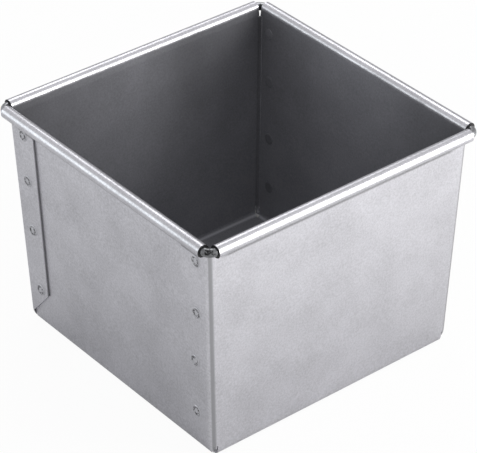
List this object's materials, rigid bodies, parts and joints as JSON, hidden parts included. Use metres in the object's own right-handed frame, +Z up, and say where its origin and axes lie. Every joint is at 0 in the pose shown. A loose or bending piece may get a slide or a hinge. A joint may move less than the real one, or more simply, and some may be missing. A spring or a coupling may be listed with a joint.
{
  "type": "pullman loaf pan",
  "caption": "Open square loaf pan folded from sheet steel, with tapered walls, riveted corner flaps, a rim rolled over a wire, and a dark non-stick coat inside.",
  "frame": {"origin": "middle of the underside of the floor", "axes": "+Z up, out of the open mouth; X across the two end walls, whose flaps fold round the corners; Y across the two side walls, which the flaps are riveted to"},
  "size_m": [0.1344, 0.136, 0.102],
  "materials": {
    "coated_sheet": "fine-grained aluminised steel outside, dark satin non-stick coat inside",
    "wire": "dark drawn steel",
    "rivet": "dull pressed steel"
  },
  "bodies": {
    "root": {"pan_body": "coated_sheet", "rim_wire": "wire", "rivet_front_left_1": "rivet", "rivet_front_left_2": "rivet", "rivet_front_left_3": "rivet", "rivet_front_left_4": "rivet", "rivet_front_right_1": "rivet", "rivet_front_right_2": "rivet", "rivet_front_right_3": "rivet", "rivet_front_right_4": "rivet", "rivet_back_left_1": "rivet", "rivet_back_left_2": "rivet", "rivet_back_left_3": "rivet", "rivet_back_left_4": "rivet", "rivet_back_right_1": "rivet", "rivet_back_right_2": "rivet", "rivet_back_right_3": "rivet", "rivet_back_right_4": "rivet"}
  },
  "joints": []
}
